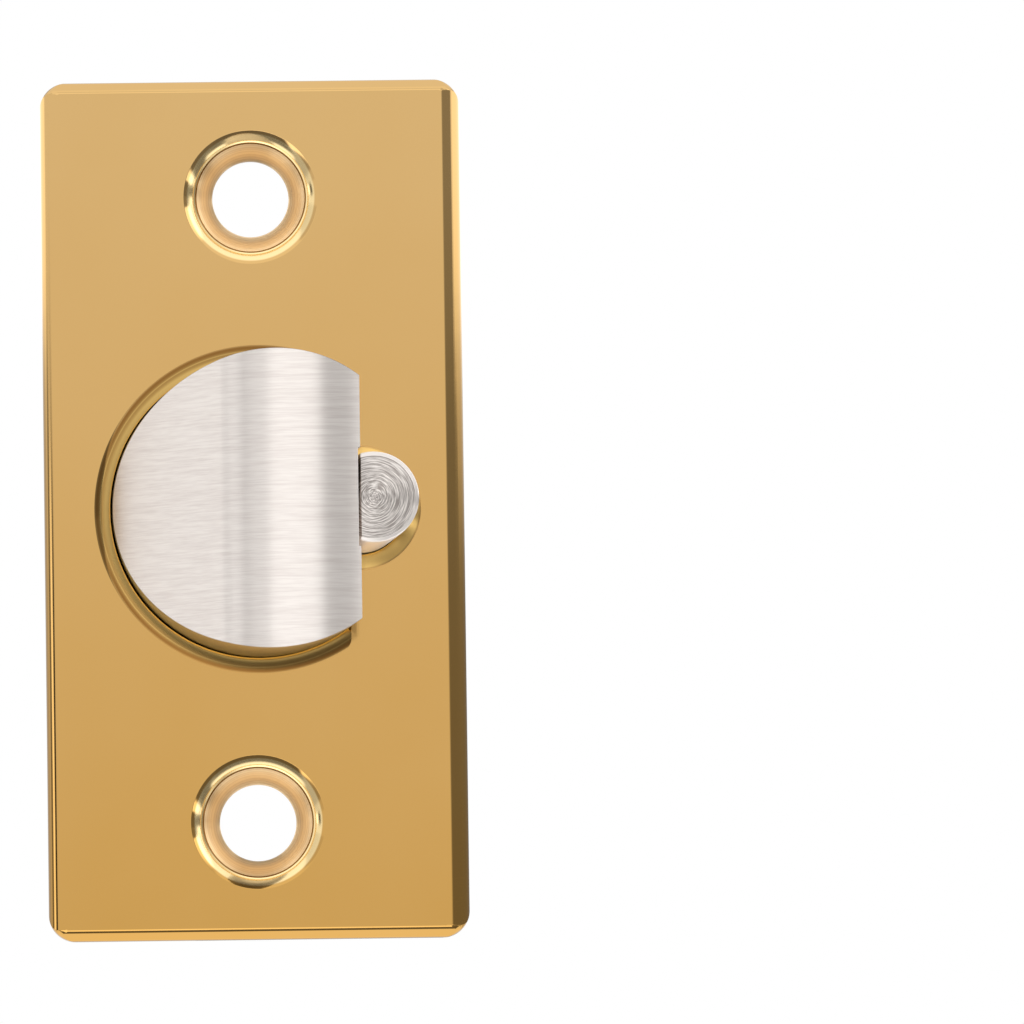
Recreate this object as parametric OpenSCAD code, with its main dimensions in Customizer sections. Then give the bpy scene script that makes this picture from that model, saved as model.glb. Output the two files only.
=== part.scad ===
// Deadlocking spring latch for a cylindrical lock.
// The outer face of the faceplate lies in the plane Y = 0, centred on the origin.
// +Z runs up the faceplate, +Y runs into the door, +X is the flat side of the latchbolt.
// The case and all that slides in it lie on a barrel axis turned by front_bevel from +Y.

/* [Faceplate] */
// Width of the faceplate
plate_w = 28; // [27:0.1:32]
// Height of the faceplate
plate_h = 57.3; // [55:0.1:62]
// Thickness of the brass faceplate
face_t = 1.6; // [1.5:0.1:2]
// Radius of the four corners seen from the front
corner_r = 1.8; // [0.6:0.1:3]
// Rounding of the two long edges
long_edge_r = 1.05; // [0.4:0.05:1.45]
// Rounding of the two short edges
short_edge_r = 0.7; // [0.3:0.05:1.2]
// Bevel between the faceplate and the barrel axis, in degrees
front_bevel = 3.58; // [0:0.01:4]
// Offset of the barrel axis from the middle of the faceplate
axis_x = 0.3; // [0:0.05:0.6]

/* [Screw holes] */
// Distance between the two screw holes
screw_spacing = 41.7; // [40.5:0.1:46]
// Diameter of the clear hole
screw_hole_d = 5.1; // [4:0.05:5.4]
// Diameter of the countersink at its mouth
countersink_d = 7.45; // [7:0.05:8.2]
// Full angle of the countersink
countersink_angle = 82; // [78:1:100]
// Width of the ring where the face rolls down into the countersink
roll_w = 0.8; // [0.3:0.01:1]
// Depth of that ring at the countersink's mouth
roll_h = 0.3; // [0.1:0.01:0.6]
// How far the pressed dimple stands out behind the faceplate
dimple_h = 0.8; // [0.6:0.05:1]

/* [Mounting plate] */
// Thickness of the steel plate behind the faceplate
mount_t = 2; // [1.6:0.1:3]
// Margin by which the steel plate is smaller all round
mount_margin = 0.35; // [0.1:0.05:1]

/* [Latchbolt] */
// Diameter of the latchbolt
bolt_d = 19.6; // [18.6:0.1:20]
// Distance from the barrel axis to the flat of the bolt
bolt_flat = 5.85; // [5.7:0.05:6]
// Throw of the bolt
bolt_throw = 12.7; // [11.5:0.1:12.9]
// Length of the bolt that stays behind the face when it is thrown
bolt_tail_l = 14; // [13.5:0.1:14.4]
// Slope of the working face that rides over the strike, in degrees
ramp_angle = 55; // [52:0.5:56]
// Distance from the barrel axis to the tip of the nose
nose_x = 3.1; // [2.6:0.05:3.6]
// Depth of the relief in the flat beside the plunger
relief_d = 0.25; // [0.15:0.05:0.35]
// Width of the relief
relief_w = 6.5; // [6.3:0.1:7]
// Running clearance of sliding pieces
slide_gap = 0.1; // [0.05:0.01:0.2]

/* [Guard plunger] */
// Diameter of the turned plunger
plunger_d = 6; // [5.6:0.05:6.1]
// Distance from the barrel axis to the plunger's own axis
plunger_x = 6.65; // [6.5:0.05:6.8]
// Distance that the plunger stands out of the face
plunger_out = 11.9; // [10:0.1:12.5]
// Travel of the plunger
plunger_throw = 11.4; // [10:0.1:11.6]
// Chamfer round the tip of the plunger
plunger_chamfer = 0.35; // [0.1:0.05:0.6]
// Small turn of the plunger's flat about its own axis, in degrees
plunger_turn = 2; // [0:0.1:2.5]

/* [Case] */
// Outside diameter of the barrel
barrel_d = 23.4; // [23.3:0.1:24]
// Wall of the barrel
barrel_wall = 0.75; // [0.65:0.05:0.8]
// Length from the face to the rear end of the barrel
barrel_l = 51; // [50.5:0.1:54]
// Length of the front guide behind the face
guide_l = 12.8; // [10:0.1:13.2]
// Length of the rear guide
rear_guide_l = 5; // [4:0.1:5]
// Thickness of the prong plate
prong_t = 1.4; // [1:0.1:1.8]
// Reach of the prongs behind the barrel
prong_l = 9; // [7:0.1:10]
// Inside gap between the prongs
prong_gap = 14.4; // [13.6:0.1:15]

/* [Tail] */
// Thickness of the tail bar
tail_t = 1.8; // [1.4:0.1:2]
// Width of the tail bar inside the spring
tail_w = 5; // [4:0.1:5.2]
// Width of the T at the end of the tail bar
tee_w = 13; // [11:0.1:13.2]
// Distance from the face to the end of the tail bar
tail_end = 66; // [65.5:0.1:70]

/* [Springs] */
// Wire of the bolt spring
bolt_wire = 0.8; // [0.6:0.05:0.9]
// Outside diameter of the bolt spring
bolt_coil_d = 7.4; // [7.2:0.05:7.5]
// Turns of the bolt spring
bolt_turns = 12; // [8:1:16]
// Wire of the plunger spring
plunger_wire = 0.5; // [0.3:0.05:0.6]
// Outside diameter of the plunger spring
plunger_coil_d = 3.4; // [2.8:0.05:3.4]
// Turns of the plunger spring
plunger_turns = 18; // [12:1:24]

/* [Deadlocking lever] */
// Thickness of the lever
dog_t = 2.8; // [2:0.1:2.9]
// Length of the lever behind its pivot
heel_l = 5.8; // [5:0.1:5.9]
// Distance from the barrel axis to the lever's pivot
dog_pivot_x = 6.4; // [6:0.05:6.5]
// Diameter of the pivot pin
dog_pin_d = 2; // [1.6:0.05:2.2]
// Swing of the lever over the whole travel of the plunger, in degrees
dog_swing = 7.8; // [6:0.1:8]

/* [Hidden] */
$fn = 96;

brass = "#d8b070";
stainless = "#d9d6d2";
zinc_steel = "#b9bcbe";
dark_steel = "#7d7f82";
spring_steel = "#8f9195";
die_cast = "#a5a7a9";

seat_gap = 0.05;
face_gap = 0.02;
screw_room = 0.35;
far = 100;

bolt_r = bolt_d / 2;
plunger_r = plunger_d / 2;
barrel_r = barrel_d / 2;
barrel_in = barrel_r - barrel_wall;
plate_back = face_t + mount_t;

ledge = 0.08;
opening_gap = 0.25;
opening_r = bolt_r + opening_gap;
opening_flat = bolt_flat + opening_gap;
rim_w = 1.02;
rim_h = 0.5;
bay_rim_w = 0.9;
bay_rim_h = 0.45;
collar_t = 0.7;
collar_l = 3.2;
pivot_depth = collar_l / 2;

// The tip's radius lets the working face reach the faceplate's plane at the side of the thrown bolt.
nose_r = ((bolt_r + nose_x) * tan(ramp_angle) - bolt_throw) / (1 / cos(ramp_angle) - 1);
nose_y = nose_r - bolt_throw;
relief_x = bolt_flat - relief_d;
plunger_flat = relief_x + slide_gap;
shoulder_t = 3;
pocket_front = 0.5;
shoulder_y = bolt_tail_l;

tail_x = tail_t / 2;
slot_depth = 7.5;
slot_end_gap = 0.3;
tail_pin_d = 2.5;
tail_pin_y = bolt_tail_l - 4;
tail_pin_sink = 1.8;
tail_front = bolt_tail_l - slot_depth + slot_end_gap;
tee_t = 4;
stop_w = 8;
stop_l = 3;

rear_y = barrel_l - rear_guide_l;
prong_y = barrel_l + face_gap;
washer_t = 0.6;
washer_r = 4.1;
bolt_coil_r = (bolt_coil_d - bolt_wire) / 2;
plunger_coil_r = (plunger_coil_d - plunger_wire) / 2;

tongue_x = 8.2;
rod_end = 2;
tongue_l = 15.4;
slide_t = 1.2;
slide_x = plunger_x + plunger_r - 0.45;
slide_w = 4.8;
slide_front = guide_l + seat_gap;
slide_rear = rear_y - plunger_throw - 0.4;
ear_y = 14.5;
ear_t = 1;
ear_r = barrel_in - 0.4;
spring_x = bolt_flat + slide_gap + plunger_coil_d / 2;
spring_z = -4.85;
ear_x = spring_x - plunger_coil_d / 2 + seat_gap;
ear_top = spring_z + plunger_coil_d / 2 + seat_gap;
ear_bottom = spring_z - plunger_coil_d / 2 - seat_gap;
bump_x = 8;
bump_t = 1.2;
bump_w = 2.6;

dog_low = bolt_flat + 0.1;
dog_high = tongue_x - slide_gap;
dog_tip = shoulder_y + 0.3;
dog_nose_l = 3.7;
dog_relief = 0.9;
dog_eye_r = 1.6;
dog_heel = slide_rear + 0.6;
dog_pivot_y = dog_heel - heel_l;
heel_high = bump_x - 0.25;
heel_low = 6;
pin_fit = 0.05;
nose_drop = (dog_pivot_y - dog_tip) * sin(dog_swing);
nose_gap = 0.45;
pocket_depth = relief_x - dog_low + nose_drop + nose_gap;
pocket_w = dog_t + 2 * nose_gap;

ear_plate_t = 1.1;
ear_in = dog_t / 2 + 0.2;
ear_out = ear_in + ear_plate_t;
carrier_low = dog_pivot_x - dog_eye_r - 0.1;
carrier_high = 8.15;
carrier_front = dog_pivot_y - dog_eye_r - 0.1;
web_t = 1.2;
tenon_l = 3;
tenon_x = 5.3;
tenon_w = 1.9;
web_low = 4.9;
web_high = 7.7;
leaf_t = 0.35;
leaf_w = 2.4;
leaf_bend = rear_y - 6;

rivet_x = 7;
rivet_z = 4.5;
rivet_r = 1.2;
rivet_head_r = 2.1;
rivet_head_h = 0.9;
guide_pin_r = 1;
guide_pin_in = 7.5;

tab_w = 5;
tab_rise = mount_t - 0.15;

// Turns and shifts what follows from the barrel's own frame to the faceplate's frame.
module on_barrel_axis() {
    translate([axis_x, pivot_depth, 0])
        rotate([0, 0, front_bevel])
            translate([0, -pivot_depth, 0])
                children();
}

// The reverse of on_barrel_axis, for cuts that stay square to the faceplate.
module in_plate_frame() {
    translate([0, pivot_depth, 0])
        rotate([0, 0, -front_bevel])
            translate([-axis_x, -pivot_depth, 0])
                children();
}

// Extrudes a profile drawn in X and Z along +Y, from y to y + l.
module along_y(y, l) {
    translate([0, y + l, 0])
        rotate([90, 0, 0])
            linear_extrude(l)
                children();
}

// Extrudes a profile drawn in Z (first) and Y (second) along +X, from x to x + l.
module across_x(x, l) {
    translate([x + l, 0, 0])
        rotate([0, -90, 0])
            linear_extrude(l)
                children();
}

// Revolves a profile about +Y; the profile's own height runs along +Y.
module turned() {
    rotate([-90, 0, 0])
        rotate_extrude()
            children();
}

// A rod along +Y.
module rod(r, y, l) {
    translate([0, y, 0])
        rotate([-90, 0, 0])
            cylinder(r = r, h = l);
}

// A block given by its lowest and highest corners.
module block(low, high) {
    translate(low)
        cube(high - low);
}

// Keeps what lies behind the plane y, which is square to the faceplate.
module behind(y) {
    difference() {
        children();
        in_plate_frame()
            block([-far, y - far, -far], [far, y, far]);
    }
}

// A rectangle with round corners, centred.
module round_rectangle(w, h, r) {
    square([w - 2 * r, h], center = true);
    square([w, h - 2 * r], center = true);
    for (x = [-1, 1], y = [-1, 1])
        translate([x * (w / 2 - r), y * (h / 2 - r)])
            circle(r);
}

// The section of a plate with its two front edges rounded: width along X, thickness along Y.
module rolled_section(w, t, r) {
    translate([-w / 2, r])
        square([w, t - r]);
    translate([-w / 2 + r, 0])
        square([w - 2 * r, t]);
    for (side = [-1, 1])
        translate([side * (w / 2 - r), r])
            circle(r);
}

// The D with its bump for the plunger, in X and Z about the barrel axis.
module bolt_and_plunger(r, flat_x, bump_r) {
    intersection() {
        circle(r);
        translate([-far, -far])
            square([far + flat_x, 2 * far]);
    }
    translate([plunger_x, 0])
        circle(bump_r);
}

// The material that a rolled edge leaves out, w wide and h deep, from the radius inner_r outwards.
module cove(inner_r, w, h) {
    r = (w ^ 2 + h ^ 2) / (2 * h);
    difference() {
        translate([inner_r - 1, -1])
            square([w + 1, h + 1]);
        translate([inner_r + w, r])
            circle(r);
    }
}

// A coil spring along +Y whose end turns close up.
module coil(r, wire, y, l, turns) {
    sides = 8;
    per_turn = 20;
    steps = turns * per_turn;
    closed = 1.02 * wire;
    open = (l - wire - 2 * closed) / (turns - 2);
    function climb(t) = t < 1 ? closed * t
        : t > turns - 1 ? closed + open * (turns - 2) + closed * (t - turns + 1)
        : closed + open * (t - 1);
    function ring(i) = [for (s = [0:sides - 1])
        let (a = 360 * i / per_turn, b = 360 * s / sides, q = r + wire / 2 * cos(b))
        [q * cos(a), y + wire / 2 + climb(i / per_turn) + wire / 2 * sin(b), q * sin(a)]];
    points = [for (i = [0:steps]) each ring(i)];
    skin = [for (i = [0:steps - 1], s = [0:sides - 1])
        let (n = (s + 1) % sides)
        [i * sides + s, (i + 1) * sides + s, (i + 1) * sides + n, i * sides + n]];
    caps = [[for (s = [0:sides - 1]) s], [for (s = [sides - 1:-1:0]) steps * sides + s]];
    polyhedron(points, concat(skin, caps), convexity = 10);
}

// What the screw takes out of the faceplate: rolled mouth, countersink and clear hole.
module screw_cut() {
    mouth = countersink_d / 2;
    cone_r = mouth - ledge;
    hole = screw_hole_d / 2;
    cone_h = (cone_r - hole) / tan(countersink_angle / 2);
    turned() {
        cove(mouth, roll_w, roll_h);
        translate([0, -1])
            square([mouth, 1 + roll_h]);
        polygon([[0, 0], [cone_r, 0], [cone_r, roll_h], [hole, roll_h + cone_h], [hole, far], [0, far]]);
    }
}

module at_screws() {
    for (side = [-1, 1])
        translate([0, 0, side * screw_spacing / 2])
            children();
}

module faceplate() {
    dimple_out = countersink_d / 2 + 0.5;
    color(brass)
    difference() {
        union() {
            intersection() {
                along_y(0, face_t)
                    round_rectangle(plate_w, plate_h, corner_r);
                translate([0, 0, -plate_h])
                    linear_extrude(2 * plate_h)
                        rolled_section(plate_w, face_t, long_edge_r);
                rotate([0, 90, 0])
                    translate([0, 0, -plate_w])
                        linear_extrude(2 * plate_w)
                            rolled_section(plate_h, face_t, short_edge_r);
            }
            at_screws()
                rod(dimple_out, face_t - 0.1, dimple_h + 0.1);
            translate([axis_x, 0, 0])
                along_y(face_t - 0.1, collar_l - face_t + 0.1)
                    bolt_and_plunger(opening_r + collar_t, opening_flat - 0.1,
                        plunger_r + opening_gap + collar_t);
        }
        at_screws()
            screw_cut();
        translate([axis_x, 0, 0]) {
            along_y(-1, collar_l + 2)
                bolt_and_plunger(opening_r, opening_flat, plunger_r + opening_gap);
            intersection() {
                turned()
                    cove(opening_r, rim_w, rim_h);
                block([-far, -far, -far], [opening_flat, far, far]);
            }
            translate([plunger_x, 0, 0])
                turned()
                    cove(plunger_r + opening_gap, bay_rim_w, bay_rim_h);
        }
    }
}

module mounting_plate() {
    w = plate_w - 2 * mount_margin;
    h = plate_h - 2 * mount_margin;
    dimple_out = countersink_d / 2 + 0.5;
    color(zinc_steel)
    difference() {
        along_y(face_t + face_gap, mount_t - face_gap)
            round_rectangle(w, h, corner_r - mount_margin);
        at_screws() {
            rod(dimple_out + seat_gap, 0, face_t + dimple_h + seat_gap);
            rod(screw_hole_d / 2 + screw_room, 0, far);
        }
        translate([axis_x, 0, 0])
            along_y(0, far)
                bolt_and_plunger(opening_r + collar_t + seat_gap, opening_flat + seat_gap,
                    plunger_r + opening_gap + collar_t + seat_gap);
        on_barrel_axis()
            barrel_tabs(seat_gap, opening_r);
    }
}

// The tabs that join the barrel to the mounting plate: top, bottom and slope side.
module barrel_tabs(grow, inner_r) {
    for (a = [90, 180, 270])
        intersection() {
            along_y(0, plate_back + 1)
                difference() {
                    circle(barrel_r + grow);
                    circle(inner_r);
                }
            rotate([0, -a, 0])
                block([0, -far, -tab_w / 2 - grow], [far, far, tab_w / 2 + grow]);
        }
}

module barrel() {
    window_w = 6;
    top_window = [23, 40];
    side_window = [22, 37];
    seam_w = 0.3;
    color(zinc_steel)
    on_barrel_axis()
        difference() {
            union() {
                behind(plate_back + face_gap)
                    rod(barrel_r, 0, barrel_l);
                behind(plate_back - tab_rise)
                    barrel_tabs(0, barrel_in);
            }
            rod(barrel_in, -1, barrel_l + 2);
            block([-window_w / 2, top_window[0], 0], [window_w / 2, top_window[1], far]);
            block([0, side_window[0], -window_w / 2], [far, side_window[1], window_w / 2]);
            block([-seam_w / 2, plate_back + 4, -far], [seam_w / 2, barrel_l + 1, 0]);
            translate([0, (rear_y + barrel_l) / 2, 0])
                cylinder(r = guide_pin_r, h = far, center = true);
        }
}

// The two radial pins that hold the rear guide in the barrel.
module pin_row() {
    for (side = [0, 180])
        rotate([0, side, 0])
            translate([0, (rear_y + barrel_l) / 2, guide_pin_in])
                cylinder(r = guide_pin_r, h = barrel_r - guide_pin_in - 0.1);
}

module bolt_guide() {
    color(die_cast)
    on_barrel_axis()
        behind(plate_back + face_gap)
            difference() {
                rod(barrel_in - seat_gap, 0, guide_l);
                along_y(-1, far)
                    bolt_and_plunger(bolt_r + slide_gap, bolt_flat + slide_gap, plunger_r + slide_gap);
            }
}

// What lies behind the rounded tip and the sloping working face, in X and Y about the barrel axis.
module bolt_profile() {
    ramp_top = [nose_x - nose_r * sin(ramp_angle), nose_y - nose_r * cos(ramp_angle)];
    hull() {
        translate([nose_x, nose_y])
            circle(nose_r, $fn = 240);
        polygon([ramp_top, ramp_top + far * [-cos(ramp_angle), sin(ramp_angle)], [nose_x + nose_r, far]]);
    }
}

module latchbolt() {
    edge = 0.15;
    color(stainless)
    on_barrel_axis()
        difference() {
            intersection() {
                along_y(-bolt_throw, bolt_throw + bolt_tail_l)
                    bolt_section();
                translate([0, 0, -far / 2])
                    linear_extrude(far)
                        bolt_profile();
            }
            block([relief_x, -far, -relief_w / 2], [far, far, relief_w / 2]);
            block([relief_x - pocket_depth, pocket_front, -pocket_w / 2],
                [far, shoulder_y - shoulder_t, pocket_w / 2]);
            block([-tail_x - slide_gap, bolt_tail_l - slot_depth, -tail_w / 2 - slide_gap],
                [tail_x + slide_gap, far, tail_w / 2 + slide_gap]);
            translate([-far, tail_pin_y, 0])
                rotate([0, 90, 0])
                    cylinder(r = tail_pin_d / 2, h = far + relief_x - pocket_depth);
            translate([bolt_flat, nose_y - sqrt(nose_r ^ 2 - (bolt_flat - nose_x) ^ 2), 0])
                rotate([0, 0, -45])
                    block([-edge, -far, -far], [far, far, far]);
        }
}

// The bolt's section: a circle with its flat.
module bolt_section() {
    intersection() {
        circle(bolt_r);
        translate([-far, -far])
            square([far + bolt_flat, 2 * far]);
    }
}

module tail_bar() {
    tail_stop = prong_y + prong_t + face_gap;
    color(zinc_steel)
    on_barrel_axis()
        difference() {
            across_x(-tail_x, tail_t) {
                translate([-tail_w / 2, tail_front])
                    square([tail_w, tail_end - tail_front]);
                translate([-stop_w / 2, tail_stop])
                    square([stop_w, stop_l]);
                translate([0, tail_end - tee_t / 2])
                    round_rectangle(tee_w, tee_t, 1);
            }
            translate([0, tail_pin_y, 0])
                rotate([0, 90, 0])
                    cylinder(r = tail_pin_d / 2, h = far, center = true);
        }
}

module tail_pin() {
    color(spring_steel)
    on_barrel_axis()
        translate([tail_pin_sink - bolt_r, tail_pin_y, 0])
            rotate([0, 90, 0])
                cylinder(r = tail_pin_d / 2 - face_gap,
                    h = bolt_r - tail_pin_sink + relief_x - pocket_depth - seat_gap);
}

module bolt_spring() {
    color(spring_steel)
    on_barrel_axis()
        coil(bolt_coil_r, bolt_wire, bolt_tail_l + seat_gap,
            rear_y - washer_t - bolt_tail_l - 2 * seat_gap, bolt_turns);
}

module spring_washer() {
    color(zinc_steel)
    on_barrel_axis()
        along_y(rear_y - washer_t, washer_t - face_gap)
            difference() {
                circle(washer_r);
                square([tail_t + 0.4, tail_w + 0.4], center = true);
            }
}

module rear_guide() {
    color(die_cast)
    on_barrel_axis()
        difference() {
            rod(barrel_in - seat_gap, rear_y, rear_guide_l);
            block([-tail_x - slide_gap, 0, -tail_w / 2 - slide_gap],
                [tail_x + slide_gap, far, tail_w / 2 + slide_gap]);
            block([tenon_x - seat_gap, 0, -tenon_w / 2 - seat_gap],
                [tenon_x + tenon_w + seat_gap, rear_y + tenon_l + seat_gap, tenon_w / 2 + seat_gap]);
            pin_row();
            at_rivets()
                rod(rivet_r, 0, far);
        }
}

module guide_pins() {
    color(spring_steel)
    on_barrel_axis()
        for (side = [0, 180])
            rotate([0, side, 0])
                translate([0, (rear_y + barrel_l) / 2, guide_pin_in + seat_gap])
                    cylinder(r = guide_pin_r - face_gap, h = barrel_r - guide_pin_in - 0.1);
}

module at_rivets() {
    for (side = [-1, 1])
        translate([side * rivet_x, 0, side * rivet_z])
            children();
}

module prong_plate() {
    plate_r = barrel_r - 0.2;
    prong_w = 6.4;
    hook = 1.6;
    color(zinc_steel)
    on_barrel_axis()
        difference() {
            union() {
                rod(plate_r, prong_y, prong_t);
                for (side = [0, 1])
                    mirror([0, 0, side])
                        across_x(-prong_w / 2, prong_w)
                            polygon([
                                [prong_gap / 2, prong_y],
                                [prong_gap / 2 + prong_t, prong_y],
                                [prong_gap / 2 + prong_t, prong_y + prong_l - 2 * hook],
                                [prong_gap / 2 + prong_t + hook, prong_y + prong_l - 2 * hook],
                                [prong_gap / 2 + prong_t, prong_y + prong_l],
                                [prong_gap / 2, prong_y + prong_l]]);
            }
            block([-tail_x - slide_gap, 0, -tail_w / 2 - slide_gap],
                [tail_x + slide_gap, far, tail_w / 2 + slide_gap]);
            at_rivets()
                rod(rivet_r, 0, far);
        }
}

module prong_rivets() {
    color(spring_steel)
    on_barrel_axis()
        at_rivets() {
            rod(rivet_r - face_gap, rear_y + 0.3, prong_y + prong_t - rear_y - 0.2);
            turned()
                translate([0, prong_y + prong_t + face_gap])
                    intersection() {
                        translate([0, -rivet_head_r])
                            circle(r = rivet_head_r * 1.25);
                        square([rivet_head_r, rivet_head_h]);
                    }
        }
}

module guard_plunger() {
    color(stainless)
    on_barrel_axis()
        difference() {
            translate([plunger_x, 0, 0])
                turned()
                    polygon([
                        [0, -plunger_out],
                        [plunger_r - plunger_chamfer, -plunger_out],
                        [plunger_r, -plunger_out + plunger_chamfer],
                        [plunger_r, tongue_l],
                        [0, tongue_l]]);
            translate([plunger_x, 0, 0])
                rotate([0, plunger_turn, 0])
                    translate([-plunger_x, 0, 0])
                        block([plunger_flat - far, -far, -far], [plunger_flat, far, far]);
            translate([plunger_flat, -plunger_out, 0])
                rotate([0, 0, -135])
                    block([-plunger_chamfer / 2, -far, -far], [far, far, far]);
            block([-far, rod_end, -far], [tongue_x, far, far]);
            block([slide_x, slide_front - 0.2, -far], [far, far, far]);
            slide_rivet_row(0);
        }
}

// The two rivets that hold the slide on the plunger's tongue.
module slide_rivet_row(shrink) {
    for (z = [-0.9, 0.9])
        translate([tongue_x + shrink / 2, tongue_l - 1.1, z])
            rotate([0, 90, 0])
                cylinder(r = 0.6 - shrink, h = slide_x + slide_t - tongue_x - shrink);
}

module plunger_slide() {
    color(zinc_steel)
    on_barrel_axis()
        difference() {
            union() {
                block([slide_x + face_gap, slide_front, -slide_w / 2],
                    [slide_x + slide_t, slide_rear, slide_w / 2]);
                block([bump_x, slide_rear - bump_t, -bump_w / 2],
                    [slide_x + slide_t, slide_rear, bump_w / 2]);
                along_y(ear_y, ear_t)
                    intersection() {
                        circle(ear_r);
                        polygon([
                            [slide_x + slide_t, 0],
                            [slide_x + slide_t, ear_bottom],
                            [ear_x, ear_bottom],
                            [ear_x, ear_top],
                            [tongue_x + slide_gap, ear_top],
                            [slide_x + face_gap, -slide_w / 2],
                            [slide_x + face_gap, 0]]);
                    }
            }
            slide_rivet_row(0);
        }
}

module slide_rivets() {
    color(spring_steel)
    on_barrel_axis()
        slide_rivet_row(face_gap);
}

module plunger_spring() {
    color(spring_steel)
    on_barrel_axis()
        translate([spring_x, 0, spring_z])
            coil(plunger_coil_r, plunger_wire, ear_y + ear_t + seat_gap,
                rear_y - ear_y - ear_t - 2 * seat_gap, plunger_turns);
}

module dog_carrier() {
    color(zinc_steel)
    on_barrel_axis()
        difference() {
            union() {
                for (side = [-1, 1])
                    translate([0, 0, side * (ear_in + ear_out) / 2])
                        block([carrier_low, carrier_front, -ear_plate_t / 2],
                            [carrier_high, rear_y - face_gap, ear_plate_t / 2]);
                block([web_low, rear_y - web_t - leaf_t, -ear_out],
                    [web_high, rear_y - leaf_t - face_gap, ear_out]);
                block([tenon_x, rear_y - web_t, -tenon_w / 2],
                    [tenon_x + tenon_w, rear_y + tenon_l, tenon_w / 2]);
            }
            translate([dog_pivot_x, dog_pivot_y, 0])
                cylinder(r = dog_pin_d / 2, h = far, center = true);
        }
}

module dog() {
    color(dark_steel)
    on_barrel_axis()
        translate([0, 0, -dog_t / 2])
            difference() {
                linear_extrude(dog_t) {
                    polygon([
                        [dog_low, dog_tip],
                        [dog_high, dog_tip],
                        [dog_high, dog_pivot_y - 1],
                        [heel_high, dog_pivot_y],
                        [heel_high, dog_heel],
                        [heel_low, dog_heel],
                        [heel_low, dog_pivot_y],
                        [dog_low + dog_relief, dog_pivot_y - 1.8],
                        [dog_low + dog_relief, dog_tip + dog_nose_l + 1],
                        [dog_low, dog_tip + dog_nose_l]]);
                    translate([dog_pivot_x, dog_pivot_y])
                        circle(dog_eye_r);
                }
                translate([dog_pivot_x, dog_pivot_y, 0])
                    cylinder(r = dog_pin_d / 2 + pin_fit, h = far, center = true);
            }
}

module dog_pin() {
    color(spring_steel)
    on_barrel_axis()
        translate([dog_pivot_x, dog_pivot_y, -ear_out])
            cylinder(r = dog_pin_d / 2 - face_gap / 2, h = 2 * ear_out);
}

// A leaf spring: its foot is held between the carrier and the rear guide, its tip presses the heel.
module dog_spring() {
    leaf_x = web_low - leaf_t - seat_gap;
    heel_x = heel_low - seat_gap - leaf_t;
    touch_y = dog_heel - 2;
    color(spring_steel)
    on_barrel_axis()
        difference() {
            translate([0, 0, -leaf_w / 2])
                linear_extrude(leaf_w)
                    polygon([
                        [web_high, rear_y - face_gap],
                        [leaf_x, rear_y - face_gap],
                        [leaf_x, leaf_bend],
                        [heel_x, touch_y],
                        [heel_x - leaf_t, touch_y - 1.2],
                        [heel_x, touch_y - 1.2],
                        [heel_x + leaf_t, touch_y],
                        [leaf_x + leaf_t, leaf_bend],
                        [leaf_x + leaf_t, rear_y - leaf_t],
                        [web_high, rear_y - leaf_t]]);
            block([tenon_x - seat_gap, rear_y - web_t, -tenon_w / 2 - seat_gap],
                [tenon_x + tenon_w + seat_gap, far, tenon_w / 2 + seat_gap]);
        }
}

faceplate();
mounting_plate();
barrel();
bolt_guide();
latchbolt();
tail_bar();
tail_pin();
bolt_spring();
spring_washer();
rear_guide();
guide_pins();
prong_plate();
prong_rivets();
guard_plunger();
plunger_slide();
slide_rivets();
plunger_spring();
dog_carrier();
dog();
dog_pin();
dog_spring();
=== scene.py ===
import math

import bmesh
import bpy
from mathutils import Matrix, Vector


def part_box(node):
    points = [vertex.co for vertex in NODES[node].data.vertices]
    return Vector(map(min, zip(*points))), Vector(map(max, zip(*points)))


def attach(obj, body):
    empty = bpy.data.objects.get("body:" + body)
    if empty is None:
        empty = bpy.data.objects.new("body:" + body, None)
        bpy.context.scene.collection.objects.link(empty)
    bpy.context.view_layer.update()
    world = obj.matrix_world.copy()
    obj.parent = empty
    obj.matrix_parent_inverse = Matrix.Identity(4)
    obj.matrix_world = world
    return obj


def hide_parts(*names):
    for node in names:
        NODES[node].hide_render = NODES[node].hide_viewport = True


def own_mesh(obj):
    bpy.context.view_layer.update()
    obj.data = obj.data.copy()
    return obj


bl_info = {
    "name": "Deadlocking Spring Latch",
    "version": (1, 0, 0),
    "blender": (4, 5, 0),
    "location": "View3D > Sidebar > Latch",
    "description": "Smooth pieces, finishes and studio for a deadlocking spring latch",
    "category": "Object",
}

# Sizes are in millimetres, times MM where Blender takes metres. A finish's noise scale is written as
# the number of its features in a millimetre, over MM.
MM = 0.001

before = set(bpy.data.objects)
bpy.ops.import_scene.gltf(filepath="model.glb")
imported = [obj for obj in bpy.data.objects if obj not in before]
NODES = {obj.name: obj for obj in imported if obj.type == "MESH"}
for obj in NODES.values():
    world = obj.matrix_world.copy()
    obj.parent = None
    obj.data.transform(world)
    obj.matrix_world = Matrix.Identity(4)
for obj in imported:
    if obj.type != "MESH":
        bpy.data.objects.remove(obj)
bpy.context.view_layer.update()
PLATE_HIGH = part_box("faceplate")[1]

# The case and all that slides in it lie on an axis that the door bevel turns about a point behind the face.
BEVEL = math.radians(3.58)
AXIS_X = 0.3
PIVOT_Y = 1.6
BARREL = (Matrix.Translation((AXIS_X * MM, PIVOT_Y * MM, 0)) @ Matrix.Rotation(BEVEL, 4, "Z")
          @ Matrix.Translation((0, -PIVOT_Y * MM, 0)))
INTO_CASE = (-math.sin(BEVEL), math.cos(BEVEL), 0.0)

PLATE_T = 1.6
SCREW_Z = 20.85
CONE_R = 3.62
PLUNGER_X = 6.65
PLUNGER_OUT = 11.9
PLUNGER_LAND_R = 2.72

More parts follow.
